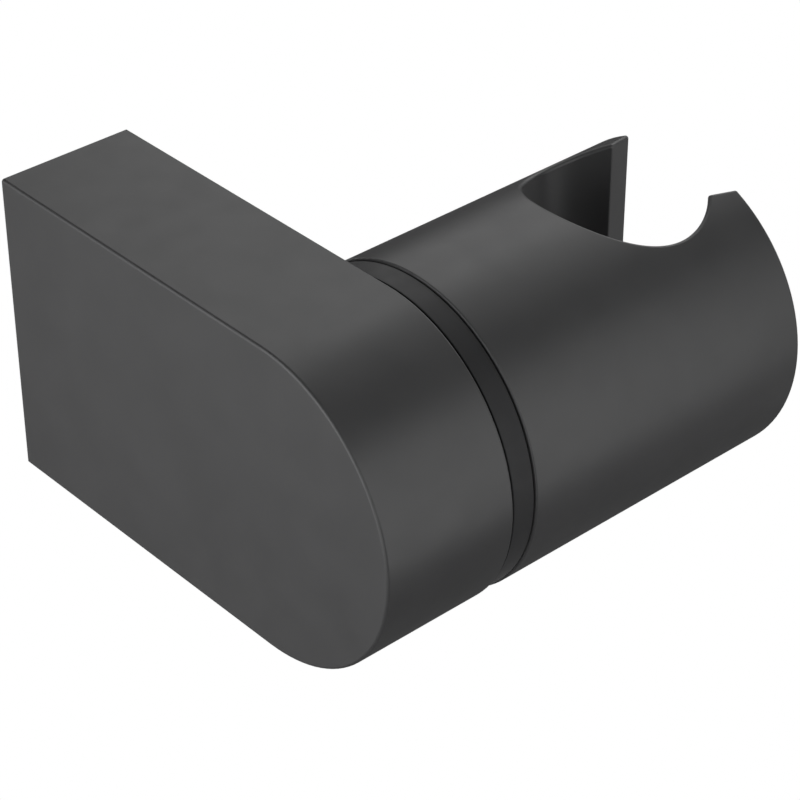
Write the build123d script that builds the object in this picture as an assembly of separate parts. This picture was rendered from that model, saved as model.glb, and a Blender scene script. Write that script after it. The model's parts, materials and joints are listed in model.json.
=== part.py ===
from build123d import *
import math
import os

# A wall-mounted hand shower holder. All sizes are in millimetres.
# The origin lies on the wall, behind the middle of the housing. X runs along the pivot towards the
# cradle, -Y runs out of the wall towards the user, and Z is up.

# Outer form, worked out from the outlines in the photograph
half_height = 22.5       # half the height of the housing, and the radius of its round front
wall_to_axis = 52.5      # from the wall to the pivot
housing_width = 20.2
ring_width = 3.7
ring_recess = 0.25       # how far the dark ring lies below the skin beside it
ring_gap = 0.2           # between the ring, which stays still, and the cradle, which turns
shadow_gap = 0.3         # the narrow dark groove between the housing and the ring
shadow_depth = 0.8
cradle_length = 47.65
seat_radius = 12.0       # the upright bore that holds the cone of the handset
seat_to_end = 12.55      # from the middle of the seat to the end face
mouth_width = 19.15      # the mouth, measured at the end face
mouth_flare = 12.8       # degrees that each side of the mouth opens outwards
edge_radius = 0.4        # the small rounding of every outer edge
joint_edge = 0.25        # the same on the two rims beside the ring
ring_edge = 0.15

# Walls of the two castings
housing_wall = 2.6
housing_corner = 0.8     # rounding inside the shell, where its walls meet
housing_rib = 2.0        # thickness and height of the ribs that stop the wall plate
cradle_wall = 3.0
seat_web = 3.6           # between the cored back of the cradle and the seat
pocket_wall = 2.1        # round the pocket for the springs and the screw
cradle_rib = 2.0         # thickness of the ribs round the hub, and how far they start behind its face
cradle_rib_count = 6

# Wall plate and its grub screw
plate_depth = 8.0
plate_clearance = 0.15
plate_corner = 1.0
plate_edge = 0.6
screw_hole_spacing = 20.0
screw_hole_radius = 2.6
screw_head_radius = 4.8
screw_head_depth = 3.6
plate_core_depth = 4.0
plate_core_margin = 2.2
grub_radius = 2.0        # M4
grub_tip_radius = 0.5
grub_bite = 0.7          # how deep its point sits in the wall plate
grub_recess = 0.3        # below the underside of the housing
grub_from_wall = 4.0
grub_hex = 2.0
grub_hex_depth = 2.5
grub_boss_radius = 4.0
grub_boss_height = 2.5
notch_clearance = 0.5

# Pivot post and its nut
flange_radius = 13.0
flange_thickness = 3.0
journal_radius = 6.0
tail_radius = 5.0        # M10
flat_depth = 1.0         # of the flats on the post's two ends
tail_past_nut = 1.0
tail_room = 3.4          # between the end of the tail and the housing's outer side
tip_step = 1.0           # from the journal down to the tip
tip_setback = 0.2        # below the outer face of the pressure washer
nut_wall = 3.0
nut_thickness = 5.0
lock_rim = 1.0           # how far the lock washer shows round the nut
lock_height = 0.9        # with its teeth pressed between the nut and the boss
lock_sheet = 0.5
lock_teeth = 12
lock_tooth_depth = 1.6
lock_tooth_width = 2.4
lock_twist = 8           # degrees that each tooth is turned out of the washer
boss_rim = 1.0           # how far the housing's boss shows round the lock washer

# Stack on the pivot, from the housing to the seat
thrust_rim = 0.6         # how far the flange shows round the thrust washer
thrust_thickness = 1.0
bush_wall = 1.5
bush_flange = 1.0
o_ring_section = 1.44
o_ring_space = 1.8
pressure_thickness = 1.2
spring_radius = 7.5
spring_thickness = 0.7
spring_height = 1.1
spring_room = 1.5        # round the springs, in their pocket
washer_room = 0.5        # round the bush's flange and the pressure washer, in the same pocket
head_washer_thickness = 1.0
screw_radius = 3.0       # M6
screw_length = 14.0
screw_hole_spare = 0.9
head_overhang = 2.0
head_height = 4.0
head_hex = 4.0
head_hex_depth = 2.4
head_gap = 0.4           # between the screw head and the cover cap
cap_thickness = 1.6
cap_setback = 0.3        # below the wall of the seat
cap_skirt = 2.4
cap_skirt_wall = 1.2

# Pegs that stop the ring from turning
peg_count = 3
peg_radius = 1.5
peg_length = 1.6

# Clearances and small edges
fit = 0.02               # between pieces that are pushed or screwed together
running = 0.05           # between pieces that turn on each other
flange_clearance = 0.15  # round the post's flange, inside the ring
turned_edge = 0.3        # chamfer on turned pieces
past = 1.0               # how far a cut runs past the face it opens

# Places along the pivot
housing_face = housing_width / 2
inner_face = housing_face - housing_wall
ring_end = housing_face + ring_width
cradle_start = ring_end + ring_gap
cradle_end = cradle_start + cradle_length
seat_x = cradle_end - seat_to_end
seat_wall_x = seat_x - seat_radius
core_floor = seat_wall_x - seat_web

tail_end = tail_room - inner_face
nut_start = tail_end + tail_past_nut
nut_end = nut_start + nut_thickness
boss_face = nut_end + lock_height

flange_end = housing_face + flange_thickness
thrust_end = flange_end + thrust_thickness
hub_start = thrust_end + running + bush_flange

cap_start = seat_wall_x - cap_setback - cap_thickness
head_end = cap_start - head_gap
head_start = head_end - head_height
head_washer_start = head_start - head_washer_thickness
spring_middle = head_washer_start - spring_height
spring_start = spring_middle - spring_height
pressure_start = spring_start - pressure_thickness
hub_end = pressure_start - running - bush_flange
journal_end = pressure_start - running
tip_end = spring_start - tip_setback
bush_length = (hub_end - hub_start - o_ring_space) / 2

# Radii that follow from what fits inside what
tip_radius = journal_radius - tip_step
nut_radius = tail_radius + nut_wall
lock_radius = nut_radius + lock_rim
boss_radius = lock_radius + boss_rim
bush_radius = journal_radius + running + bush_wall
hub_bore = bush_radius + fit
pocket_radius = spring_radius + spring_room
hub_radius = pocket_radius + pocket_wall
core_radius = half_height - cradle_wall
head_radius = screw_radius + head_overhang
ring_radius = half_height - ring_recess
ring_bore = flange_radius + flange_clearance
peg_circle = (ring_radius + ring_bore) / 2

# Heights on the underside, where the grub screw grips the wall plate
roof = half_height - housing_wall
grub_low = grub_recess - half_height
notch_top = grub_boss_height + notch_clearance - roof
grub_high = notch_top + grub_bite

# Planes and axes
pivot = Axis((0, -wall_to_axis, 0), (1, 0, 0))
pivot_section = Plane(origin=(0, -wall_to_axis, 0), x_dir=(1, 0, 0), z_dir=(0, -1, 0))
wall = Plane(origin=(0, 0, 0), x_dir=(1, 0, 0), z_dir=(0, -1, 0))


def across(x):
    """The plane across the pivot at x, centred on the pivot, with Y to the right and Z up."""
    return Plane(origin=(x, -wall_to_axis, 0), x_dir=(0, 1, 0), z_dir=(1, 0, 0))


def turned(*outline):
    """A piece turned about the pivot, from the points (x, radius) of half its section."""
    section = make_face(Polyline(*outline, close=True))
    return revolve(pivot_section * section, pivot)


def rod(start, end, radius):
    """A round bar on the pivot."""
    return extrude(across(start) * Circle(radius), end - start)


def tube(start, end, outer, inner):
    """A plain ring or sleeve on the pivot."""
    return extrude(across(start) * (Circle(outer) - Circle(inner)), end - start)


def two_flats(radius, spare=0.0):
    """A circle with two flats, for a shaft that must not turn in its hole."""
    flats = 2 * (radius - flat_depth + spare)
    return Circle(radius + spare) & Rectangle(flats, 4 * radius)


def around(count):
    """Evenly spaced turns about the pivot for what repeats, the first one straight up."""
    return [Rot(0, 0, 90 + 360 * i / count) for i in range(count)]


def from_pivot(point):
    """The distance of a point from the pivot."""
    return math.hypot(point.Y + wall_to_axis, point.Z)


def d_shape(inset):
    """The housing's outline in its own plane: flat at the wall, round towards the user."""
    length = wall_to_axis + inset
    straight = Pos(length / 2, 0) * Rectangle(length, 2 * (half_height - inset))
    return straight + Circle(half_height - inset)


def outline_at(body, x):
    """The edges round the flat side of a D-shaped body at x, without the one at the wall."""
    return [
        edge for edge in body.edges()
        if abs(edge.center().X - x) < 0.01 and edge.center().Y < -0.01
    ]


def make_housing():
    """The cast shell: open at the wall, with a boss for the post and ribs that stop the plate."""
    shell = extrude(across(-housing_face) * d_shape(0), housing_width)
    shell = fillet(outline_at(shell, -housing_face), edge_radius)
    shell = fillet(outline_at(shell, housing_face), joint_edge)
    hollow = extrude(across(-inner_face) * d_shape(housing_wall), 2 * inner_face)
    corners = outline_at(hollow, -inner_face) + outline_at(hollow, inner_face)
    shell -= fillet(corners, housing_corner)

    shell += rod(boss_face, inner_face, boss_radius)
    shell += housing_ribs()
    shell += grub_boss()
    shell -= extrude(across(boss_face) * two_flats(tail_radius, fit), housing_face - boss_face)
    shell -= grub_column(grub_low - grub_recess, grub_boss_height - roof, grub_radius + fit)
    for turn in around(peg_count):
        hole = across(housing_face - peg_length - fit) * turn * Pos(peg_circle, 0) * Circle(peg_radius + fit)
        shell -= extrude(hole, peg_length + fit)
    return shell


def housing_ribs():
    """Two ribs under the top and two over the bottom: they stiffen the shell and stop the plate."""
    run = wall_to_axis - plate_depth
    rib = Box(housing_rib, run, housing_rib)
    middle = roof - housing_rib / 2
    return [
        Pos(x, -plate_depth - run / 2, z) * rib
        for x in (-inner_face / 2, inner_face / 2) for z in (-middle, middle)
    ]


def grub_column(low, high, radius):
    """An upright cylinder on the grub screw's axis."""
    return extrude(Plane.XY.offset(low) * Pos(0, -grub_from_wall) * Circle(radius), high - low)


def grub_boss():
    """The thick spot inside the underside that the grub screw is threaded through."""
    boss = grub_column(-roof - housing_wall / 2, grub_boss_height - roof, grub_boss_radius)
    return split(boss, wall, keep=Keep.TOP)


def grub_outline(spare):
    """The grub screw without its socket, grown by a little for the dimple that its point sits in."""
    cone = grub_radius - grub_tip_radius
    section = make_face(Polyline(
        (0, grub_low), (grub_radius + spare, grub_low), (grub_radius + spare, grub_high - cone),
        (grub_tip_radius + spare, grub_high + spare), (0, grub_high + spare), close=True,
    ))
    upright = wall.offset(grub_from_wall)
    return revolve(upright * section, Axis(upright.origin, (0, 0, 1)))


def make_grub_screw():
    """A cone-point screw with a hexagon socket, driven from below."""
    socket = RegularPolygon(grub_hex / 2, 6, major_radius=False)
    cut = extrude(Plane.XY.offset(grub_low) * Pos(0, -grub_from_wall) * socket, grub_hex_depth)
    return grub_outline(0) - cut


def make_wall_plate():
    """The block screwed to the wall, with two recessed holes and a notch for the grub screw."""
    width = 2 * (inner_face - plate_clearance)
    height = 2 * (roof - plate_clearance)
    plate = extrude(wall * RectangleRounded(width, height, plate_corner), plate_depth)
    plate = chamfer(plate.faces().sort_by(Axis.Y)[0].outer_wire().edges(), plate_edge)

    for side in (-1, 1):
        middle = Pos(0, side * screw_hole_spacing / 2)
        plate -= extrude(wall * middle * Circle(screw_hole_radius), plate_depth)
        head = wall.offset(plate_depth - screw_head_depth) * middle * Circle(screw_head_radius)
        plate -= extrude(head, screw_head_depth)

    core = RectangleRounded(
        width - 2 * plate_core_margin,
        screw_hole_spacing - 2 * screw_head_radius - 2 * plate_core_margin, plate_corner,
    )
    plate -= extrude(wall.offset(plate_depth - plate_core_depth) * core, plate_core_depth)

    notch_width = 2 * (grub_boss_radius + notch_clearance)
    notch_middle = Pos(0, notch_top - half_height / 2)
    plate -= extrude(wall * notch_middle * Rectangle(notch_width, half_height), plate_depth)
    return plate - grub_outline(fit)


def make_spacer_ring():
    """The dark ring: a plastic spacer that hides the post's flange, held by three pegs."""
    ring = tube(housing_face + shadow_gap, ring_end, ring_radius, ring_bore)
    rims = [edge for edge in ring.edges() if from_pivot(edge @ 0) > ring_radius - 0.01]
    ring = fillet(rims, ring_edge)
    ring += tube(housing_face, housing_face + shadow_gap, ring_radius - shadow_depth, ring_bore)
    for turn in around(peg_count):
        peg = across(housing_face - peg_length) * turn * Pos(peg_circle, 0) * Circle(peg_radius)
        ring += extrude(peg, peg_length)
    return ring


def make_pivot_post():
    """The stub axle: threaded tail with flats, flange, journal, and flats for the pressure washer."""
    post = extrude(across(tail_end) * two_flats(tail_radius), housing_face - tail_end)
    post += turned(
        (housing_face, 0), (housing_face, flange_radius), (flange_end - turned_edge, flange_radius),
        (flange_end, flange_radius - turned_edge), (flange_end, journal_radius),
        (journal_end - turned_edge, journal_radius), (journal_end, journal_radius - turned_edge),
        (journal_end, 0),
    )
    post += extrude(across(journal_end) * two_flats(tip_radius), tip_end - journal_end)
    hole_end = head_start - screw_length - screw_hole_spare
    return post - rod(hole_end, tip_end, screw_radius + fit)


def make_lock_washer():
    """A toothed washer: every tooth is twisted, so that its edges bite into the nut and the boss."""
    low = nut_end + (lock_height - lock_sheet) / 2
    body_radius = lock_radius - lock_tooth_depth
    washer = tube(low, low + lock_sheet, body_radius, tail_radius + running)
    root = (body_radius + tail_radius) / 2
    tooth = Rot(lock_twist, 0, 0) * Box(lock_radius - root, lock_tooth_width, lock_sheet)
    for turn in around(lock_teeth):
        washer += across(low + lock_sheet / 2) * turn * Pos((lock_radius + root) / 2, 0) * tooth
    return washer


def make_post_nut():
    """A thin hexagon nut, its corners turned off on both faces."""
    hexagon = RegularPolygon(nut_radius, 6, major_radius=False)
    nut = extrude(across(nut_start) * hexagon, nut_thickness)
    corner = nut_radius / math.cos(math.radians(30))
    lean = (corner - nut_radius) * math.tan(math.radians(30))
    nut &= turned(
        (nut_start, 0), (nut_start, nut_radius), (nut_start + lean, corner),
        (nut_end - lean, corner), (nut_end, nut_radius), (nut_end, 0),
    )
    return nut - rod(nut_start, nut_end, tail_radius + fit)


def make_bush(rim, inward):
    """A flanged bush: its flange lies outside the hub's face at rim, and its sleeve runs inward."""
    flange = rim - inward * bush_flange
    sleeve = rim + inward * bush_length
    bore = journal_radius + running
    flange_rim = pocket_radius - washer_room
    return turned(
        (flange, bore), (flange, flange_rim), (rim, flange_rim),
        (rim, bush_radius), (sleeve, bush_radius), (sleeve, bore),
    )


def make_o_ring():
    """The rubber ring between the two bushes."""
    place = Pos((hub_start + hub_end) / 2, (journal_radius + hub_bore) / 2)
    return revolve(pivot_section * place * Circle(o_ring_section / 2), pivot)


def make_pressure_washer():
    """A steel washer whose hole has two flats, so that it can't turn with the cradle."""
    face = Circle(pocket_radius - washer_room) - two_flats(tip_radius, running)
    return extrude(across(pressure_start) * face, pressure_thickness)


def make_disc_spring(low, high):
    """A coned spring washer: its outer rim rests at x = low, its inner rim at x = high."""
    step = math.copysign(spring_thickness, high - low)
    bore = screw_radius + running
    return turned((low, spring_radius), (low + step, spring_radius), (high, bore), (high - step, bore))


def make_pivot_screw():
    """A low-head socket screw that loads the springs."""
    screw_end = head_start - screw_length
    screw = turned(
        (screw_end, 0), (screw_end, screw_radius - turned_edge), (screw_end + turned_edge, screw_radius),
        (head_start, screw_radius), (head_start, head_radius), (head_end - turned_edge, head_radius),
        (head_end, head_radius - turned_edge), (head_end, 0),
    )
    socket = RegularPolygon(head_hex / 2, 6, major_radius=False)
    return screw - extrude(across(head_end - head_hex_depth) * socket, head_hex_depth)


def upright_bore(radius):
    """An upright cylinder round the middle of the seat, longer than the cradle is high."""
    return Pos(seat_x, -wall_to_axis, 0) * Cylinder(radius, 4 * half_height)


def make_cover_cap():
    """A plug over the screw's pocket, its face hollowed to follow the wall of the seat."""
    radius = pocket_radius - running
    plug = rod(cap_start, seat_x, radius) - upright_bore(seat_radius + cap_setback)
    plug = plug.solids().sort_by(Axis.X)[0]
    return plug + tube(cap_start - cap_skirt, cap_start, radius, radius - cap_skirt_wall)


def seat_plan():
    """The seat and its mouth seen from above, from the middle of the seat, corners rounded."""
    slope = math.tan(math.radians(mouth_flare))
    narrow = mouth_width / 2 - slope * seat_to_end
    wide = mouth_width / 2 + slope * past
    reach = seat_to_end + past
    mouth = make_face(Polyline((0, narrow), (reach, wide), (reach, -wide), (0, -narrow), close=True))
    plan = Circle(seat_radius) + mouth
    corners = [vertex for vertex in plan.vertices() if vertex.X < seat_to_end]
    return fillet(corners, edge_radius)


def skin_edges(body):
    """Every edge on the cradle's skin: its two rims, and the rims of the seat and the mouth."""
    return [
        edge for edge in body.edges()
        if all(abs(from_pivot(edge @ t) - half_height) < 0.01 for t in (0, 0.5, 1))
    ]


def along_pivot(edges):
    """Edges in order along the pivot, the one nearest the ring first."""
    return sorted(edges, key=lambda edge: edge.center().X)


def mouth_lips(body):
    """The two upright edges where the mouth opens through the end face."""
    return [
        edge for edge in body.edges().filter_by(Axis.Z)
        if abs(edge.center().X - cradle_end) < 0.01
    ]


def make_cradle():
    """The cast cradle: seat bore and flared mouth in front, cored back with a ribbed hub."""
    body = rod(cradle_start, cradle_end, half_height)
    below = Plane(origin=(seat_x, -wall_to_axis, -2 * half_height))
    body -= extrude(below * seat_plan(), 4 * half_height)
    body = fillet(along_pivot(skin_edges(body))[1:] + mouth_lips(body), edge_radius)
    body = fillet(along_pivot(skin_edges(body))[0], joint_edge)

    body -= tube(cradle_start, core_floor, core_radius, hub_radius)
    body -= rod(cradle_start, hub_start, hub_radius)
    rib_start = hub_start + cradle_rib
    rib_length = core_radius - hub_radius + cradle_rib
    rib = Pos((core_radius + hub_radius) / 2, 0) * Rectangle(rib_length, cradle_rib)
    for turn in around(cradle_rib_count):
        body += extrude(across(rib_start) * turn * rib, core_floor - rib_start)
    body -= rod(cradle_start, hub_end, hub_bore)
    return body - rod(hub_end, seat_x, pocket_radius)


parts = {
    "housing": make_housing(),
    "wall_plate": make_wall_plate(),
    "grub_screw": make_grub_screw(),
    "spacer_ring": make_spacer_ring(),
    "pivot_post": make_pivot_post(),
    "lock_washer": make_lock_washer(),
    "post_nut": make_post_nut(),
    "thrust_washer": tube(flange_end, thrust_end, flange_radius - thrust_rim, journal_radius + running),
    "inner_bush": make_bush(hub_start, 1),
    "outer_bush": make_bush(hub_end, -1),
    "post_o_ring": make_o_ring(),
    "pressure_washer": make_pressure_washer(),
    "disc_spring_inner": make_disc_spring(spring_start, spring_middle),
    "disc_spring_outer": make_disc_spring(head_washer_start, spring_middle),
    "head_washer": tube(head_washer_start, head_start, spring_radius, screw_radius + running),
    "pivot_screw": make_pivot_screw(),
    "cover_cap": make_cover_cap(),
    "cradle": make_cradle(),
}

os.makedirs("parts", exist_ok=True)
for name, part in parts.items():
    part.label = name
    export_step(part, f"parts/{name}.step")
    print(name, round(part.volume), "cubic mm")
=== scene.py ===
# %% [markdown]
# # A black holder for a hand shower
#
# This lesson dresses an exact model of a wall holder: a flat cast housing, a narrow dark ring and a round
# cradle with a slot for the handset. The model comes in as a fixed frame, and none of its pieces is moved
# or reshaped here. What is left to do is what the eye judges: the camera, the light, the finish of every
# surface, and the fine threads of the screws, which are easier to turn here than to draw as exact solids.
#
# Each step says first what the thing is on the real object, then how it could be made, and why this way.

# %% Load the frame
import json
import math

import bpy
from mathutils import Matrix, Vector


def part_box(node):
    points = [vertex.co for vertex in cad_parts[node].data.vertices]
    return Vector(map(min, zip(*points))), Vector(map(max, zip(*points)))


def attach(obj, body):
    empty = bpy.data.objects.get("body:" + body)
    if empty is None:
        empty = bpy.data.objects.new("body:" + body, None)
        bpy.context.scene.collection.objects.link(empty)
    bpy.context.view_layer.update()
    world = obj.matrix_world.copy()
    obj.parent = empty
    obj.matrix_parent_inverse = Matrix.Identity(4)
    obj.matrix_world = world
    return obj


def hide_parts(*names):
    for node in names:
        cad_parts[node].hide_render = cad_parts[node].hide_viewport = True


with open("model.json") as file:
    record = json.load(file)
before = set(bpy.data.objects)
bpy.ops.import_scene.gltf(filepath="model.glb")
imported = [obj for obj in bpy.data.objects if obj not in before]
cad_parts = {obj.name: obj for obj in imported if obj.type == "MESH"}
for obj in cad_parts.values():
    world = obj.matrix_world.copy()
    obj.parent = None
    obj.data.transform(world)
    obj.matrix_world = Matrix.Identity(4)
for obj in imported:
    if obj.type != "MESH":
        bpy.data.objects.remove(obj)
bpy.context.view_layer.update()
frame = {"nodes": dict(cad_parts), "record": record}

scene = bpy.context.scene
nodes = frame["nodes"]
MM = 0.001

# %% [markdown]
# ## The camera
#
# The photograph is a product shot taken from near by: the edges of the housing lean together, which a
# distant camera would keep parallel. A camera could be placed by eye, but the outlines of a plain shape
# give it exactly. Three turns are enough, in this order: about the upright axis, down towards the object,
# and a hair of roll. The lens is named in millimetres on a sensor 36 mm wide, and the small shifts slide
# the picture in its frame, as when a photograph is cropped.

# %% Place the camera
CAMERA_PLACE = Vector((-0.17196, -0.25906, 0.19520))
CAMERA_TURN = -41.645
CAMERA_TILT = 33.454
CAMERA_ROLL = -0.084
LENS_MM = 121.0
SENSOR_MM = 36.0
SHIFT_X = 0.0012
SHIFT_Y = -0.0637


def turn(degrees, axis):
    """A turn about an axis, as a matrix."""
    return Matrix.Rotation(math.radians(degrees), 4, axis)


def add_camera():
    """The camera of the photograph, looking down on the housing and the cradle."""
    camera = bpy.data.objects.new("camera", bpy.data.cameras.new("camera"))
    scene.collection.objects.link(camera)
    camera.data.sensor_width = SENSOR_MM
    camera.data.lens = LENS_MM
    camera.data.shift_x = SHIFT_X
    camera.data.shift_y = SHIFT_Y
    look = turn(CAMERA_TURN, "Z") @ turn(90 - CAMERA_TILT, "X") @ turn(CAMERA_ROLL, "Z")
    camera.matrix_world = Matrix.Translation(CAMERA_PLACE) @ look
    scene.camera = camera
    return camera


camera = add_camera()
print("camera at", [round(v, 4) for v in camera.location])

# %% [markdown]
# ## The light
#
# A matt black thing has almost no colour of its own to show, so its form is read from broad, soft
# reflections. A cylinder makes them easy to read: each line along it mirrors one direction. In the
# photograph its top is bright, its shoulder dark, its front pale, and below it darkens again. So two fields
# stand behind the object on the right, then comes a gap, and then two more in front, one tall and one high.
# Two wide ones on the left light the flat face of the housing, and a narrow low one on the right lights
# the wall of the cradle's mouth. The last two stand on the right and behind. They hardly reach what the
# photograph shows, and are there for a look at the end of the cradle and at the back.
#
# A lamp in the shape of a rectangle makes such a field. Its power is worked out from how bright its face
# is, so that its size can change and its reflection stays as bright.

# %% Place the softboxes
scene.view_settings.view_transform = "Standard"
AIM = Vector((0.025, -0.045, 0.0))
LAMP_DISTANCE = 0.7      # metres from the place they aim at


def add_softbox(name, around, up, width, height, brightness):
    """A rectangular lamp that faces the object. around is 0 in front, 90 on the right, 180 behind."""
    flat = math.cos(math.radians(up))
    side = math.radians(around)
    towards = Vector((flat * math.sin(side), -flat * math.cos(side), math.sin(math.radians(up))))
    lamp = bpy.data.lights.new(name, "AREA")
    lamp.shape = "RECTANGLE"
    lamp.size = width
    lamp.size_y = height
    lamp.energy = math.pi * width * height * brightness
    softbox = bpy.data.objects.new(name, lamp)
    scene.collection.objects.link(softbox)
    softbox.location = AIM + towards * LAMP_DISTANCE
    softbox.rotation_euler = towards.to_track_quat("Z", "Y").to_euler()
    return softbox


softboxes = [
    add_softbox("light_left", around=-110, up=4, width=0.72, height=0.98, brightness=2.31),
    add_softbox("light_left_front", around=-54, up=-3, width=0.72, height=0.74, brightness=1.15),
    add_softbox("light_front", around=30, up=4, width=0.35, height=0.98, brightness=1.56),
    add_softbox("light_front_high", around=2, up=25, width=0.35, height=0.70, brightness=1.42),
    add_softbox("light_back_right", around=107, up=32, width=0.45, height=0.54, brightness=1.67),
    add_softbox("light_back", around=142, up=40, width=0.30, height=0.72, brightness=1.14),
    add_softbox("light_low_right", around=79, up=-24, width=0.20, height=0.50, brightness=0.50),
    add_softbox("light_right", around=90, up=0, width=0.35, height=0.35, brightness=1.20),
    add_softbox("light_behind", around=178, up=-4, width=0.45, height=0.50, brightness=1.00),
]
for softbox in softboxes:
    print(softbox.name, "power", round(softbox.data.energy, 2), "W")

# %% [markdown]
# ## The background
#
# The photograph is cut out on pure white: no floor line and no shadow. The white must not come from more
# light, which would also wash out the black. The Light Path node tells what kind of ray asks for a colour:
# a ray from the camera, or one that has come through glass, gets all of the white. A reflection gets a
# small part of it. That keeps the steel from mirroring a black room, and on a matt black coat, which
# mirrors a whole half of the room at once, more would lie as a grey veil over everything.

# %% Tell the rays apart
WHITE_IN_GLOSS = 0.06


def white_share(tree):
    """How much of the white a ray gets: all from the camera or through glass, a little in a reflection."""
    path = tree.nodes.new("ShaderNodeLightPath")
    direct = tree.nodes.new("ShaderNodeMath")
    direct.operation = "MAXIMUM"
    tree.links.new(path.outputs["Is Camera Ray"], direct.inputs[0])
    tree.links.new(path.outputs["Is Transmission Ray"], direct.inputs[1])
    reflected = tree.nodes.new("ShaderNodeMath")
    reflected.operation = "MULTIPLY"
    reflected.inputs[1].default_value = WHITE_IN_GLOSS
    tree.links.new(path.outputs["Is Glossy Ray"], reflected.inputs[0])
    either = tree.nodes.new("ShaderNodeMath")
    either.operation = "MAXIMUM"
    tree.links.new(direct.outputs[0], either.inputs[0])
    tree.links.new(reflected.outputs[0], either.inputs[1])
    return either.outputs[0]


def mixed(tree, plain, white):
    """A shader that is plain for most rays and white for those that see the background."""
    mix = tree.nodes.new("ShaderNodeMixShader")
    tree.links.new(white_share(tree), mix.inputs[0])
    tree.links.new(plain.outputs[0], mix.inputs[1])
    tree.links.new(white.outputs[0], mix.inputs[2])
    return mix.outputs[0]


print("share of the white in a reflection:", WHITE_IN_GLOSS)

# %% [markdown]
# ## The world
#
# The world is all that the rays meet when they miss everything else. It could be an even grey, but then the
# grey would light the object as strongly as it is seen. With two backgrounds, one for each kind of ray, the
# camera sees white, and the object gets only as much even light as the walls of a studio throw back.

# %% Make the world
WORLD_LIGHT = 0.02


def make_world():
    """White to the camera, and a weak even light to the object."""
    world = bpy.data.worlds.new("studio")
    scene.world = world
    world.use_nodes = True
    tree = world.node_tree
    tree.nodes.clear()
    white = tree.nodes.new("ShaderNodeBackground")
    white.inputs["Color"].default_value = (1, 1, 1, 1)
    ambient = tree.nodes.new("ShaderNodeBackground")
    ambient.inputs["Color"].default_value = (1, 1, 1, 1)
    ambient.inputs["Strength"].default_value = WORLD_LIGHT
    out = tree.nodes.new("ShaderNodeOutputWorld")
    tree.links.new(mixed(tree, ambient, white), out.inputs["Surface"])
    return world


world = make_world()
print("made the world", world.name)

# %% [markdown]
# ## The floor
#
# The holder hangs on a wall, so the floor of the studio lies well below it, and so does the object's shadow.
# It is a plain pale floor that throws some light back up, and it is as white as the world to the camera.

# %% Make the floor
FLOOR_DEPTH = 2.0
FLOOR_SIZE = 12.0
FLOOR_COLOUR = (0.8, 0.8, 0.8, 1)


def make_floor():
    """A plain pale floor far below, white where the camera sees it."""
    bpy.ops.object.select_all(action="DESELECT")
    bpy.ops.mesh.primitive_plane_add(size=FLOOR_SIZE, location=(0, 0, -FLOOR_DEPTH))
    floor = bpy.context.object
    floor.name = "floor"
    paint = bpy.data.materials.new("floor")
    paint.use_nodes = True
    tree = paint.node_tree
    tree.nodes.clear()
    matt = tree.nodes.new("ShaderNodeBsdfDiffuse")
    matt.inputs["Color"].default_value = FLOOR_COLOUR
    white = tree.nodes.new("ShaderNodeEmission")
    out = tree.nodes.new("ShaderNodeOutputMaterial")
    tree.links.new(mixed(tree, matt, white), out.inputs["Surface"])
    floor.data.materials.append(paint)
    return floor


floor = make_floor()
print("floor at", floor.location.z, "m")

# %% [markdown]
# ## A kit for the finishes
#
# Every finish starts in the same way: a shader with its plain colour, its roughness and whether it is a
# metal, and the place on the object itself, in millimetres. What grows from that place has the same scale
# on the housing and on a screw, and it doesn't slide when the cradle turns.

# %% Start a finish
def finish(name, colour, roughness, metallic=0.0):
    """A new material: its node tree, its shader, and the object's own coordinates in millimetres."""
    material = bpy.data.materials.new(name)
    material.use_nodes = True
    tree = material.node_tree
    shader = tree.nodes["Principled BSDF"]
    shader.inputs["Base Color"].default_value = (*colour, 1)
    shader.inputs["Roughness"].default_value = roughness
    shader.inputs["Metallic"].default_value = metallic
    place = tree.nodes.new("ShaderNodeTexCoord")
    in_mm = tree.nodes.new("ShaderNodeMapping")
    in_mm.inputs["Scale"].default_value = (1 / MM, 1 / MM, 1 / MM)
    tree.links.new(place.outputs["Object"], in_mm.inputs["Vector"])
    return material, tree, shader, in_mm.outputs[0]


print("materials before the first finish:", len(bpy.data.materials))

# %% [markdown]
# ## Noise, and what it does to a surface
#
# No real surface is even, and noise is the simplest unevenness there is. It does three things here. It
# shifts the colour between two shades, it shifts the roughness between two values, which the eye notices
# long before the colour, and it raises a relief. Noise keeps near its middle grey, so for the first two it
# is stretched. A relief takes it as it is, and a coarse relief can lie under a fine one.

# %% Noise for colour, gloss and relief
NOISE_LOW = 0.3          # nearly all of a noise lies between these two
NOISE_HIGH = 0.7


def noise(tree, where, size, detail=2.0, soft=0.5, swirl=0.0):
    """Noise whose blobs are about size millimetres across, stirred by swirl."""
    node = tree.nodes.new("ShaderNodeTexNoise")
    node.inputs["Scale"].default_value = 1 / size
    node.inputs["Detail"].default_value = detail
    node.inputs["Roughness"].default_value = soft
    node.inputs["Distortion"].default_value = swirl
    tree.links.new(where, node.inputs["Vector"])
    return node.outputs["Fac"]


def spread(tree, value, low, high):
    """Stretch the middle of a noise to the range low to high."""
    node = tree.nodes.new("ShaderNodeMapRange")
    node.inputs["From Min"].default_value = NOISE_LOW
    node.inputs["From Max"].default_value = NOISE_HIGH
    node.inputs["To Min"].default_value = low
    node.inputs["To Max"].default_value = high
    tree.links.new(value, node.inputs["Value"])
    return node.outputs[0]


def tint(tree, shader, value, dark, light):
    """Colour between two shades of the finish."""
    node = tree.nodes.new("ShaderNodeMix")
    node.data_type = "RGBA"
    node.inputs["A"].default_value = (*dark, 1)
    node.inputs["B"].default_value = (*light, 1)
    tree.links.new(spread(tree, value, low=0.0, high=1.0), node.inputs["Factor"])
    tree.links.new(node.outputs["Result"], shader.inputs["Base Color"])


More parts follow.
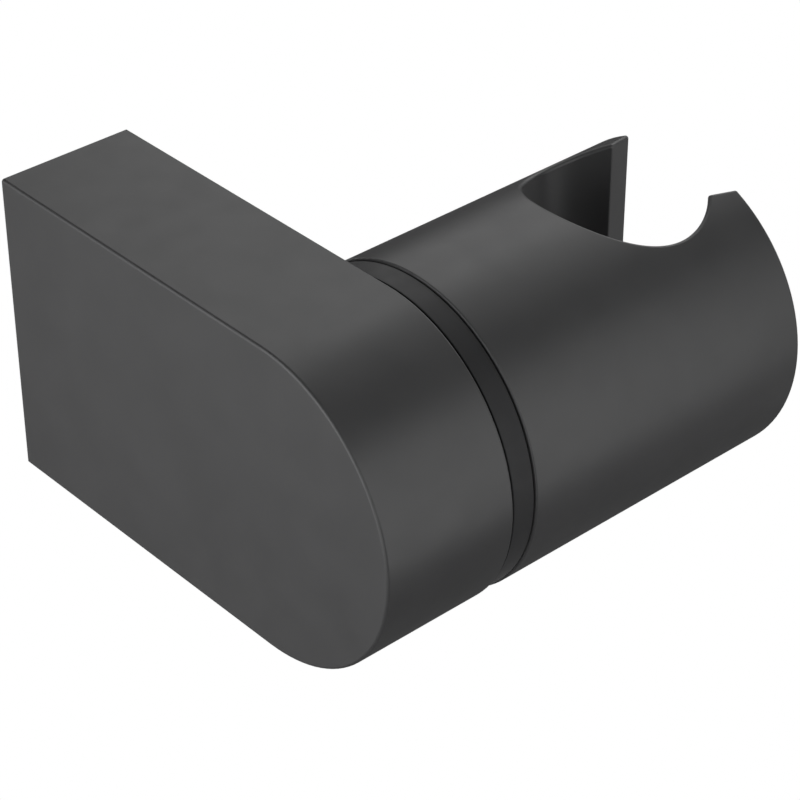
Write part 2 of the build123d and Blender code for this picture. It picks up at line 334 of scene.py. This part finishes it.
def gloss(tree, shader, value, low, high):
    """Roughness between two values."""
    tree.links.new(spread(tree, value, low, high), shader.inputs["Roughness"])


def bump(tree, shader, height, millimetres, under=None):
    """A relief whose full height is given in millimetres, on top of another one if there is one."""
    node = tree.nodes.new("ShaderNodeBump")
    node.inputs["Distance"].default_value = millimetres * MM
    tree.links.new(height, node.inputs["Height"])
    if under is not None:
        tree.links.new(under, node.inputs["Normal"])
    tree.links.new(node.outputs[0], shader.inputs["Normal"])
    return node.outputs[0]


print("noise is stretched from", NOISE_LOW, "to", NOISE_HIGH)

# %% [markdown]
# ## The matt black coat
#
# The housing and the cradle are castings with a baked powder coat. Close up such a coat has two scales:
# a fine grain of about a tenth of a millimetre from the powder, and a shallow waviness of one or two
# millimetres where it flowed as it melted. Both are far too shallow to model, so they are a bump. Matt
# black isn't a flat black: it is a dark grey with a broad, soft gloss, and the coat lies a little
# unevenly, which shows as a change in gloss more than as one in colour.

# %% The powder coat
def black_coat():
    """Matt black powder coat on a casting."""
    material, tree, shader, place = finish("powder_coat", (0.045, 0.045, 0.046), roughness=0.4)
    cloud = noise(tree, place, size=9.0, detail=3.0)
    tint(tree, shader, cloud, dark=(0.042, 0.042, 0.043), light=(0.048, 0.048, 0.049))
    patch = noise(tree, place, size=4.0)
    gloss(tree, shader, patch, low=0.38, high=0.42)
    flow = noise(tree, place, size=1.6, detail=1.0)
    waves = bump(tree, shader, flow, millimetres=0.004)
    grain = noise(tree, place, size=0.12)
    bump(tree, shader, grain, millimetres=0.002, under=waves)
    return material


coat = black_coat()
print("made", coat.name)

# %% [markdown]
# ## The dark plastic
#
# The ring between the housing and the cradle and the cap inside the seat are moulded in black plastic. It
# is darker than the coat, because light that enters it isn't thrown back by pigment grains. Its skin copies
# the fine spark-eroded texture of the mould. The peaks of that texture catch some light where the surface
# turns away from the eye, so the ring is paler towards both of its ends. A little sheen gives that.

# %% The plastic
def dark_plastic():
    """Black moulded plastic with a fine mould texture."""
    material, tree, shader, place = finish("moulded_plastic", (0.020, 0.020, 0.021), roughness=0.5)
    shader.inputs["Specular IOR Level"].default_value = 0.25
    shader.inputs["Sheen Weight"].default_value = 0.09
    patch = noise(tree, place, size=3.0)
    gloss(tree, shader, patch, low=0.46, high=0.54)
    texture = noise(tree, place, size=0.18, detail=3.0)
    bump(tree, shader, texture, millimetres=0.004)
    return material


plastic = dark_plastic()
print("made", plastic.name)

# %% [markdown]
# ## The bare zinc
#
# The wall plate is a pressure die casting that nobody sees once the holder hangs, so it stays bare. Zinc from
# the mould is a dull blue grey metal. The melt freezes in swirls as it fills the mould, which leaves cloudy
# patches that differ more in gloss than in colour, and the mould's own texture is a shallow orange peel.

# %% The bare casting
def zinc_plate():
    """Bare die-cast zinc: dull, with the cloudy swirls of the melt."""
    material, tree, shader, place = finish("zinc_casting", (0.55, 0.56, 0.58), roughness=0.45, metallic=1.0)
    swirl = noise(tree, place, size=7.0, detail=4.0, soft=0.6, swirl=1.5)
    tint(tree, shader, swirl, dark=(0.45, 0.46, 0.48), light=(0.55, 0.56, 0.58))
    cloud = noise(tree, place, size=2.5, detail=3.0)
    gloss(tree, shader, cloud, low=0.46, high=0.58)
    peel = noise(tree, place, size=0.5)
    bump(tree, shader, peel, millimetres=0.01)
    return material


zinc = zinc_plate()
print("made", zinc.name)

# %% [markdown]
# ## The turned steel
#
# The post, its nut, the screw and the plain washers are turned from stainless bar. A lathe tool leaves fine
# grooves all round the axis: rings on a face, hoops on a cylinder. Both are the same pattern, because the
# grooves only change with the place along the axis and with the distance from it. So a noise is given
# just these two numbers, and it draws the right marks on every face of every turned piece.

# %% The turned steel
X, Y, Z = 0, 1, 2


def span(node, axis):
    """The lowest and the highest place of a node along an axis, in millimetres."""
    low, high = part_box(node)
    return low[axis] / MM, high[axis] / MM


PIVOT_Y = sum(span("pivot_post", Y)) / 2


def along_and_round(tree, place):
    """The place along the pivot and the distance from it, in millimetres, as a vector."""
    centred = tree.nodes.new("ShaderNodeVectorMath")
    centred.operation = "SUBTRACT"
    centred.inputs[1].default_value = (0, PIVOT_Y, 0)
    tree.links.new(place, centred.inputs[0])
    split = tree.nodes.new("ShaderNodeSeparateXYZ")
    tree.links.new(centred.outputs[0], split.inputs[0])
    across = tree.nodes.new("ShaderNodeCombineXYZ")
    tree.links.new(split.outputs["Y"], across.inputs["Y"])
    tree.links.new(split.outputs["Z"], across.inputs["Z"])
    distance = tree.nodes.new("ShaderNodeVectorMath")
    distance.operation = "LENGTH"
    tree.links.new(across.outputs[0], distance.inputs[0])
    both = tree.nodes.new("ShaderNodeCombineXYZ")
    tree.links.new(split.outputs["X"], both.inputs["X"])
    tree.links.new(distance.outputs["Value"], both.inputs["Y"])
    return both.outputs[0]


def turned_steel():
    """Stainless steel from the lathe, with the fine grooves that the tool leaves round the axis."""
    material, tree, shader, place = finish("turned_steel", (0.62, 0.62, 0.60), roughness=0.3, metallic=1.0)
    marks = noise(tree, along_and_round(tree, place), size=0.12, detail=3.0, soft=0.7)
    gloss(tree, shader, marks, low=0.22, high=0.38)
    film = noise(tree, place, size=3.0)
    tint(tree, shader, film, dark=(0.58, 0.58, 0.56), light=(0.65, 0.65, 0.63))
    bump(tree, shader, marks, millimetres=0.004)
    return material


steel = turned_steel()
print("made", steel.name, "with its grooves round y =", round(PIVOT_Y, 3), "mm")

# %% [markdown]
# ## The rolled steel
#
# The disc springs and the toothed washer are stamped from rolled strip. It is darker than the bar, with the
# straight scratches of the rolling mill. A scratch is a blob of noise that is pulled out along one axis, so
# the noise is read from a place whose height is made small.

# %% The rolled steel
SCRATCH_PULL = 0.06


def rolled_steel():
    """Spring steel strip: grey, with straight scratches from the rolls."""
    material, tree, shader, place = finish("rolled_steel", (0.42, 0.42, 0.42), roughness=0.4, metallic=1.0)
    pulled = tree.nodes.new("ShaderNodeMapping")
    pulled.inputs["Scale"].default_value = (1, 1, SCRATCH_PULL)
    tree.links.new(place, pulled.inputs["Vector"])
    scratches = noise(tree, pulled.outputs[0], size=0.15, detail=3.0, soft=0.7)
    gloss(tree, shader, scratches, low=0.32, high=0.48)
    stain = noise(tree, place, size=2.0, detail=3.0)
    tint(tree, shader, stain, dark=(0.36, 0.36, 0.36), light=(0.47, 0.46, 0.45))
    bump(tree, shader, scratches, millimetres=0.003)
    return material


spring = rolled_steel()
print("made", spring.name)

# %% [markdown]
# ## The blackened steel
#
# The grub screw is blackened in hot salts, which turns the skin of the steel into a thin black oxide. It
# still shines like metal, so it is a dark metal and not a black paint. The salts leave a faint bloom on it.
# Where that lies the skin is both paler and duller, so one noise drives the colour and the gloss.

# %% The black oxide
def black_oxide():
    """Blackened steel: a thin dark oxide skin that keeps the gloss of the metal."""
    material, tree, shader, place = finish("black_oxide", (0.06, 0.06, 0.06), roughness=0.34, metallic=1.0)
    bloom = noise(tree, place, size=0.8, detail=3.0)
    tint(tree, shader, bloom, dark=(0.045, 0.045, 0.048), light=(0.075, 0.073, 0.07))
    gloss(tree, shader, bloom, low=0.28, high=0.42)
    skin = noise(tree, place, size=0.1)
    bump(tree, shader, skin, millimetres=0.003)
    return material


oxide = black_oxide()
print("made", oxide.name)

# %% [markdown]
# ## The white plastic
#
# The bushes and the thrust washer are acetal, a hard slippery plastic that needs no oil. In its natural
# colour it is a warm white with a soft gloss. These pieces are turned too, so they carry the same kind of
# grooves as the steel, only coarser and softer.

# %% The bearing plastic
def white_plastic():
    """Natural acetal with a turned, slightly silky skin."""
    material, tree, shader, place = finish("acetal", (0.82, 0.81, 0.77), roughness=0.38)
    cloud = noise(tree, place, size=4.0)
    tint(tree, shader, cloud, dark=(0.80, 0.79, 0.745), light=(0.84, 0.83, 0.79))
    marks = noise(tree, along_and_round(tree, place), size=0.2)
    gloss(tree, shader, marks, low=0.33, high=0.43)
    bump(tree, shader, marks, millimetres=0.004)
    return material


acetal = white_plastic()
print("made", acetal.name)

# %% [markdown]
# ## The rubber
#
# The ring that damps the swivel is black rubber, and it was greased when it was fitted. Grease is a second
# surface over the first: smooth and clear over dull and black. The shader has a coat for just that.

# %% The seal
def rubber_seal():
    """Black nitrile rubber under a thin film of grease."""
    material, tree, shader, place = finish("nitrile_rubber", (0.03, 0.03, 0.03), roughness=0.6)
    shader.inputs["Coat Weight"].default_value = 0.4
    shader.inputs["Coat Roughness"].default_value = 0.15
    smear = noise(tree, place, size=1.5, detail=3.0)
    tint(tree, shader, smear, dark=(0.024, 0.024, 0.024), light=(0.036, 0.036, 0.035))
    gloss(tree, shader, smear, low=0.5, high=0.7)
    skin = noise(tree, place, size=0.25, detail=3.0)
    bump(tree, shader, skin, millimetres=0.006)
    return material


rubber = rubber_seal()
print("made", rubber.name)

# %% [markdown]
# ## A finish for every piece
#
# The record of the model says which material each piece is made of, so the finishes are handed out by that
# list. Nobody has to remember that the cap in the seat is the same plastic as the ring.

# %% Give each piece its finish
FINISH_OF = {
    "black_coat": coat,
    "dark_plastic": plastic,
    "zinc_plate": zinc,
    "steel": steel,
    "spring_steel": spring,
    "black_screw": oxide,
    "white_plastic": acetal,
    "rubber_seal": rubber,
}
SLOT_OF = {part["node"]: part["material_slot"] for part in frame["record"]["subparts"]}
for name, slot in SLOT_OF.items():
    nodes[name].data.materials.clear()
    nodes[name].data.materials.append(FINISH_OF[slot])
print("finished", len(SLOT_OF), "pieces")

# %% [markdown]
# ## Turning
#
# The exact model has plain cylinders where the real fasteners have threads, so those are made again here,
# in full. A turned form is half a section, drawn point by point and spun about the axis, as on a lathe.
#
# All of this is made a thousand times too large, with one unit for each millimetre, along the X axis
# through the origin. The tools that weld and cut have fixed tolerances, which are far too coarse for a
# thread at its real size. The finished piece is made small when it is put in its place.

# %% Draw a section and turn it
TURN_STEPS = 64
WELD = 1e-4              # corners nearer to each other than this become one


def deselect():
    """Nothing selected, and no piece left open in edit mode."""
    if bpy.context.object and bpy.context.object.mode != "OBJECT":
        bpy.ops.object.mode_set(mode="OBJECT")
    bpy.ops.object.select_all(action="DESELECT")


def draw_line(points):
    """A line through points, given as (along, out): one corner, extruded from each point to the next."""
    corners = [Vector((along, 0, out)) for along, out in points]
    deselect()
    bpy.ops.mesh.primitive_plane_add(size=1)
    bpy.ops.object.mode_set(mode="EDIT")
    bpy.ops.mesh.merge(type="CENTER")
    bpy.ops.mesh.select_all(action="SELECT")
    bpy.ops.transform.translate(value=corners[0])
    for here, there in zip(corners, corners[1:]):
        bpy.ops.mesh.extrude_vertices_move(TRANSFORM_OT_translate={"value": there - here})
    bpy.ops.object.mode_set(mode="OBJECT")
    return bpy.context.object


def close_up():
    """Weld the seams of the piece in edit mode, and turn its faces outwards."""
    bpy.ops.mesh.select_all(action="SELECT")
    bpy.ops.mesh.remove_doubles(threshold=WELD)
    bpy.ops.mesh.normals_make_consistent(inside=False)


def turned(points, steps=TURN_STEPS):
    """Half a section, from axis to axis, spun about the X axis."""
    piece = draw_line(points)
    bpy.ops.object.mode_set(mode="EDIT")
    bpy.ops.mesh.select_all(action="SELECT")
    bpy.ops.mesh.spin(steps=steps, angle=2 * math.pi, center=(0, 0, 0), axis=(1, 0, 0))
    close_up()
    bpy.ops.object.mode_set(mode="OBJECT")
    return piece


print("turned forms have", TURN_STEPS, "corners round")

# %% [markdown]
# ## Threading
#
# A thread is one small outline that is carried round and along at once, which is what the Screw modifier
# does. It could also be a bump, but a bump leaves the outline smooth, and it is the toothed outline that
# makes a screw look like one. The thread is wound a turn too long at each end and then cut off square.

# %% Wind a thread
THREAD_DEPTH = 0.6134    # of a metric thread, as a share of its pitch
THREAD_STEPS = 32        # corners in one turn
ON_PLANE = 1e-5          # corners nearer to a cutting plane than this lie on it
# One tooth, from root to root: how far along in shares of the pitch, how deep in shares of the depth.
THREAD_TOOTH = ((-0.125, 1), (0.125, 1), (0.4375, 0), (0.5625, 0), (0.875, 1))


def core_radius(radius, pitch):
    """The radius at the bottom of a thread."""
    return radius - THREAD_DEPTH * pitch


def cut_off(along, keep_high, normal=(1, 0, 0)):
    """Cut the piece in edit mode with a plane, that far along its normal, and close the cut with a face."""
    bpy.ops.mesh.select_all(action="SELECT")
    bpy.ops.mesh.bisect(
        plane_co=Vector(normal) * along, plane_no=normal, use_fill=True, threshold=ON_PLANE,
        clear_inner=keep_high, clear_outer=not keep_high,
    )


def threaded_rod(radius, pitch, start, end):
    """A metric thread from start to end."""
    depth = radius - core_radius(radius, pitch)
    tooth = [(start + (along - 1) * pitch, radius - deep * depth) for along, deep in THREAD_TOOTH]
    piece = draw_line(tooth)
    helix = piece.modifiers.new("helix", "SCREW")
    helix.axis = "X"
    helix.screw_offset = pitch
    helix.iterations = math.ceil((end - start) / pitch) + 2
    helix.steps = THREAD_STEPS
    helix.render_steps = THREAD_STEPS
    helix.use_merge_vertices = True
    helix.merge_threshold = WELD
    bpy.ops.object.modifier_apply(modifier="helix")
    bpy.ops.object.mode_set(mode="EDIT")
    close_up()
    cut_off(start, keep_high=True)
    cut_off(end, keep_high=False)
    close_up()
    bpy.ops.object.mode_set(mode="OBJECT")
    return piece


print("a thread of pitch 1 mm is", round(THREAD_DEPTH, 2), "mm deep")

# %% [markdown]
# ## Joining and cutting
#
# The start of a real thread is chamfered, so that its first tooth runs out on a cone. That cone could be
# drawn tooth by tooth, but it is simpler to wind the thread in full and to keep only what it has in common
# with a blank of the outer shape. A boolean modifier does that, and it also cuts sockets and bores and
# joins pieces. Each cutter stands a little over what it cuts, because a boolean can't tell which of two
# faces in one plane is the outer one. It may work by luck, and the last digit of a size then spoils it.

# %% Combine two pieces
SLIGHT = 0.05            # how far a cutter stands over what it cuts
LEAD_IN = 0.7            # length of the chamfer at the start of a thread, as a share of the pitch


def take(piece):
    """Only this piece selected, as after a click on it."""
    deselect()
    bpy.context.view_layer.objects.active = piece
    piece.select_set(True)


def combine(piece, other, how):
    """UNION, DIFFERENCE or INTERSECT of two closed pieces. The other one is used up."""
    step = piece.modifiers.new("combine", "BOOLEAN")
    step.operation = how
    step.object = other
    step.solver = "EXACT"
    take(piece)
    bpy.ops.object.modifier_apply(modifier="combine")
    bpy.data.objects.remove(other)
    bpy.ops.object.mode_set(mode="EDIT")
    bpy.ops.mesh.select_all(action="SELECT")
    bpy.ops.mesh.dissolve_degenerate(threshold=WELD)
    close_up()
    bpy.ops.object.mode_set(mode="OBJECT")
    return piece


def chamfered_thread(radius, pitch, start, end):
    """A threaded rod whose start is chamfered down to the bottom of the thread."""
    piece = threaded_rod(radius, pitch, start, end)
    core = core_radius(radius, pitch)
    slope = (radius + SLIGHT - core) / (LEAD_IN * pitch)
    blank = turned([
        (start - SLIGHT, 0), (start - SLIGHT, core - SLIGHT * slope),
        (start + LEAD_IN * pitch, radius + SLIGHT), (end + SLIGHT, radius + SLIGHT), (end + SLIGHT, 0),
    ])
    return combine(piece, blank, "INTERSECT")


print("cutters stand over by", SLIGHT, "mm")

# %% [markdown]
# ## Hexagons
#
# A key socket is a hexagon hole with the point of the drill at its bottom. A cylinder with six corners is a
# hexagon bar, and the point is its inner face, extruded and merged into one corner. That face is found by
# the way it looks, which is how faces are picked in code, where there is nothing to click on.

# %% Bars and sockets
HEXAGON = 6
FACING = 0.9             # a face looks along an axis when this much of its normal does


def bar(corners, radius, start, end):
    """A straight bar along the X axis, with so many corners round it."""
    deselect()
    bpy.ops.mesh.primitive_cylinder_add(
        vertices=corners, radius=radius, depth=end - start,
        location=((start + end) / 2, 0, 0), rotation=(0, math.pi / 2, 0),
    )
    bpy.ops.object.transform_apply(location=True, rotation=True, scale=True)
    return bpy.context.object


def pick(piece, kind, test):
    """Open a piece in edit mode with only those corners (VERT) or faces (FACE) selected that pass a test."""
    bpy.ops.object.mode_set(mode="EDIT")
    bpy.ops.mesh.select_mode(type=kind)
    bpy.ops.mesh.select_all(action="DESELECT")
    bpy.ops.object.mode_set(mode="OBJECT")
    for member in piece.data.vertices if kind == "VERT" else piece.data.polygons:
        member.select = test(member)
    bpy.ops.object.mode_set(mode="EDIT")


def hex_socket(across_flats, mouth, depth, inward):
    """The cutter for a hexagon socket, which opens at mouth and ends in the point of its drill."""
    corner = across_flats / 2 / math.cos(math.pi / HEXAGON)
    piece = bar(HEXAGON, corner, mouth - depth, mouth + depth)
    pick(piece, "FACE", lambda face: face.normal.x * inward > FACING)
    point = Vector((inward * across_flats / 4, 0, 0))
    bpy.ops.mesh.extrude_region_move(TRANSFORM_OT_translate={"value": point})
    bpy.ops.mesh.merge(type="CENTER")
    close_up()
    bpy.ops.object.mode_set(mode="OBJECT")
    return piece


print("corners over flats of a hexagon:", round(1 / math.cos(math.pi / HEXAGON), 3))

# %% [markdown]
# ## From the workshop to its place
#
# A finished piece is shrunk to metres and put where its stand-in is in the model. Its place goes into its
# mesh, so that the object itself sits at the origin as the others do, and a finish that reads the object's
# own coordinates lies the same way on all of them. Faces that meet at a small angle are shaded as one
# smooth surface, and the rest keep their edges.

# %% Hand in a piece
SMOOTH_ANGLE = math.radians(30)
ON_PIVOT = Matrix.Translation((0, PIVOT_Y, 0))


def half(node, axis):
    """Half the size of a node along an axis, in millimetres."""
    low, high = span(node, axis)
    return (high - low) / 2


def hand_in(piece, name, node, place):
    """Make a finished piece small, put it in its place, and let it stand for its node in the model."""
    piece.name = name
    piece.matrix_world = Matrix.Scale(MM, 4) @ place
    take(piece)
    bpy.ops.object.transform_apply(location=True, rotation=True, scale=True)
    bpy.ops.object.shade_smooth_by_angle(angle=SMOOTH_ANGLE)
    piece.data.materials.append(FINISH_OF[SLOT_OF[node]])
    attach(piece, "bracket")
    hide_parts(node)
    print(name, len(piece.data.polygons), "faces")


print("the pivot lies at y =", round(PIVOT_Y, 3), "mm")

# %% [markdown]
# ## The grub screw
#
# An M4 screw with a cone point, driven from below with a 2 mm key, locks the housing to the wall plate. It is
# the one fastener that can be seen, if you look at the holder from underneath. The thread is wound over
# the whole length and then intersected with a blank that has the cone, so that it runs out on the cone as
# it does on the real screw.

# %% Make the grub screw
GRUB_PITCH = 0.7
GRUB_TIP = 0.5
GRUB_KEY = 2.0
GRUB_KEY_DEPTH = 2.5


def make_grub_screw():
    """Cone point up, hexagon socket down."""
    low, high = span("grub_screw", Z)
    radius = half("grub_screw", X)
    length = high - low
    piece = threaded_rod(radius, GRUB_PITCH, 0, length + SLIGHT)
    blank = turned([
        (-SLIGHT, 0), (-SLIGHT, radius - GRUB_PITCH / 2), (GRUB_PITCH / 2, radius + SLIGHT),
        (length - radius + GRUB_TIP - SLIGHT, radius + SLIGHT), (length, GRUB_TIP), (length, 0),
    ])
    combine(piece, blank, "INTERSECT")
    combine(piece, hex_socket(GRUB_KEY, 0, GRUB_KEY_DEPTH, inward=1), "DIFFERENCE")
    middle = [sum(span("grub_screw", axis)) / 2 for axis in (X, Y)]
    upright = Matrix.Translation((*middle, low)) @ turn(-90, "Y")
    hand_in(piece, "grub_screw_cut", "grub_screw", upright)


make_grub_screw()

# %% [markdown]
# ## The pivot screw
#
# An M6 screw with a low head presses the disc springs together and so sets how stiffly the cradle turns. Its
# head has a straight knurl, which the fitter grips before the key goes in. The knurl is a ring of ridges:
# on a cylinder with twice as many corners as ridges, every other edge along it is drawn in a little.

# %% Make the pivot screw
SCREW_PITCH = 1.0
SCREW_RADIUS = 3.0
SCREW_KEY = 4.0
SCREW_KEY_DEPTH = 2.4
HEAD_EDGE = 0.35
KNURL_RIDGES = 48
KNURL_DEPTH = 0.18


def knurled_head(radius, start, end):
    """A cylinder along X with chamfered ends and a straight knurl round its side."""
    piece = bar(2 * KNURL_RIDGES, radius, start - SLIGHT, end + SLIGHT)
    step = math.pi / KNURL_RIDGES
    pick(piece, "VERT", lambda corner: round(math.atan2(corner.co.z, corner.co.y) / step) % 2 == 0)
    shrink = 1 - KNURL_DEPTH / radius
    bpy.ops.transform.resize(value=(1, shrink, shrink), center_override=(0, 0, 0))
    bpy.ops.object.mode_set(mode="OBJECT")
    blank = turned([
        (start, 0), (start, radius - HEAD_EDGE), (start + HEAD_EDGE, radius + SLIGHT),
        (end - HEAD_EDGE, radius + SLIGHT), (end, radius - HEAD_EDGE), (end, 0),
    ], steps=4 * KNURL_RIDGES)
    return combine(piece, blank, "INTERSECT")


def make_pivot_screw():
    """The thread, the knurled head on its washer and the hexagon socket, joined into one piece."""
    start, end = span("pivot_screw", X)
    head_start = span("head_washer", X)[1]
    piece = chamfered_thread(SCREW_RADIUS, SCREW_PITCH, start, head_start + SLIGHT)
    combine(piece, knurled_head(half("pivot_screw", Z), head_start, end), "UNION")
    combine(piece, hex_socket(SCREW_KEY, end, SCREW_KEY_DEPTH, inward=-1), "DIFFERENCE")
    hand_in(piece, "pivot_screw_cut", "pivot_screw", ON_PIVOT)


make_pivot_screw()

# %% [markdown]
# ## The nut of the post
#
# A thin M10 nut with a fine thread holds the post in the housing. A hexagon bar is chamfered on both faces,
# which rounds its six corners off in the familiar arcs, and then tapped. The chamfer is a cone, so the nut is
# the part that the hexagon and a double cone have in common. A countersink opens the thread at each face.

# %% Make the nut
NUT_PITCH = 1.0
POST_THREAD_RADIUS = 5.0
CHAMFER_LEAN = math.tan(math.radians(30))
MOUTH_WIDER = 0.3        # how much wider than the thread a countersink is at the face
MOUTH_DEPTH = 0.6
NUT_MOUTH_BOTTOM = 4.5   # radius of the nut's countersink at its bottom


def countersink(radius, bottom, face, inward):
    """The cutter for the mouth of a tapped hole: a cone from over the thread down to the bottom radius."""
    return turned([
        (face - inward * SLIGHT, 0), (face - inward * SLIGHT, radius + MOUTH_WIDER),
        (face + inward * MOUTH_DEPTH, bottom), (face + inward * MOUTH_DEPTH, 0),
    ])


def make_post_nut():
    """A hexagon with turned corners and a tapped hole."""
    start, end = span("post_nut", X)
    flat = half("post_nut", Z)
    corner = half("post_nut", Y)
    piece = bar(HEXAGON, corner, start, end)
    lean = (corner - flat) * CHAMFER_LEAN
    over = lean + SLIGHT
    inner = flat - SLIGHT / CHAMFER_LEAN
    outer = corner + SLIGHT / CHAMFER_LEAN
    cones = turned([
        (start - SLIGHT, 0), (start - SLIGHT, inner), (start + over, outer),
        (end - over, outer), (end + SLIGHT, inner), (end + SLIGHT, 0),
    ], steps=2 * TURN_STEPS)
    combine(piece, cones, "INTERSECT")
    tap = threaded_rod(POST_THREAD_RADIUS, NUT_PITCH, start - NUT_PITCH, end + NUT_PITCH)
    combine(piece, tap, "DIFFERENCE")
    for face, inward in ((start, 1), (end, -1)):
        combine(piece, countersink(POST_THREAD_RADIUS, NUT_MOUTH_BOTTOM, face, inward), "DIFFERENCE")
    hand_in(piece, "post_nut_tapped", "post_nut", ON_PIVOT)


make_post_nut()

# %% [markdown]
# ## The tail of the post
#
# The post is one turned piece, and its tail goes through the housing. The tail is threaded for the nut, has a
# plain shank past the thread, and has two flats, so that it can't turn. Thread and shank are joined
# first and the flats are cut with two planes after that, because on the real post one cut runs over both.

# %% Make the tail
SEAT = span("housing", X)[1]     # the side that the flange is drawn tight against
PAST_NUT = 0.5           # from the nut to where its thread runs out
THREAD_END = span("post_nut", X)[1] + PAST_NUT
RUN_OUT = 0.6            # length of the cone from the bottom of the thread up to the shank
FLAT_REACH = 4.0         # from the axis to the flats of the tail and the tip


def flatten(piece, reach):
    """Cut two flats on the sides that face the wall and the room, reach millimetres from the axis."""
    take(piece)
    bpy.ops.object.mode_set(mode="EDIT")
    for way in (1, -1):
        cut_off(reach, keep_high=False, normal=(0, way, 0))
    close_up()
    bpy.ops.object.mode_set(mode="OBJECT")


def make_tail(start):
    """The threaded tail with its chamfer, its plain shank and its two flats."""
    tail = chamfered_thread(POST_THREAD_RADIUS, NUT_PITCH, start, THREAD_END)
    core = core_radius(POST_THREAD_RADIUS, NUT_PITCH)
    shank = turned([
        (THREAD_END - SLIGHT, 0), (THREAD_END - SLIGHT, core), (THREAD_END + RUN_OUT, POST_THREAD_RADIUS),
        (SEAT + SLIGHT, POST_THREAD_RADIUS), (SEAT + SLIGHT, 0),
    ])
    combine(tail, shank, "UNION")
    flatten(tail, FLAT_REACH)
    return tail


print("the thread ends at x =", round(THREAD_END, 2), "mm, the tail at x =", round(SEAT, 2), "mm")

# %% [markdown]
# ## The pivot post
#
# Past the tail come a broad flange, which is drawn against the housing, a journal on which the cradle turns,
# and a tip with flats for the pressure washer. They are spun in one go, the tip apart for its flats, and
# joined to the tail. The hole in the tip is tapped for the screw: a threaded rod is cut out of it, which
# leaves exactly the thread that the screw fits.

# %% Make the post
FLANGE_END = span("thrust_washer", X)[0]
JOURNAL_END = span("outer_bush", X)[1]
JOURNAL_RADIUS = 6.0
TURNED_EDGE = 0.3
HOLE_SPARE = 0.9         # how much deeper the tapped hole is than the screw reaches
HOLE_MOUTH_BOTTOM = 2.6  # radius of the hole's countersink at its bottom


def make_pivot_post():
    """Tail, flange, journal and tip, with flats at both ends and a tapped hole in the tip."""
    start, end = span("pivot_post", X)
    flange = half("pivot_post", Z)
    piece = turned([
        (SEAT, 0), (SEAT, flange), (FLANGE_END - TURNED_EDGE, flange),
        (FLANGE_END, flange - TURNED_EDGE), (FLANGE_END, JOURNAL_RADIUS),
        (JOURNAL_END - TURNED_EDGE, JOURNAL_RADIUS), (JOURNAL_END, JOURNAL_RADIUS - TURNED_EDGE),
        (JOURNAL_END, 0),
    ], steps=2 * TURN_STEPS)
    combine(piece, make_tail(start), "UNION")
    tip = turned([
        (JOURNAL_END - SLIGHT, 0), (JOURNAL_END - SLIGHT, POST_THREAD_RADIUS),
        (end - TURNED_EDGE, POST_THREAD_RADIUS), (end, POST_THREAD_RADIUS - TURNED_EDGE), (end, 0),
    ])
    flatten(tip, FLAT_REACH)
    combine(piece, tip, "UNION")
    hole_start = span("pivot_screw", X)[0] - HOLE_SPARE
    combine(piece, threaded_rod(SCREW_RADIUS, SCREW_PITCH, hole_start, end + SCREW_PITCH), "DIFFERENCE")
    combine(piece, countersink(SCREW_RADIUS, HOLE_MOUTH_BOTTOM, end, inward=-1), "DIFFERENCE")
    hand_in(piece, "pivot_post_turned", "pivot_post", ON_PIVOT)


make_pivot_post()
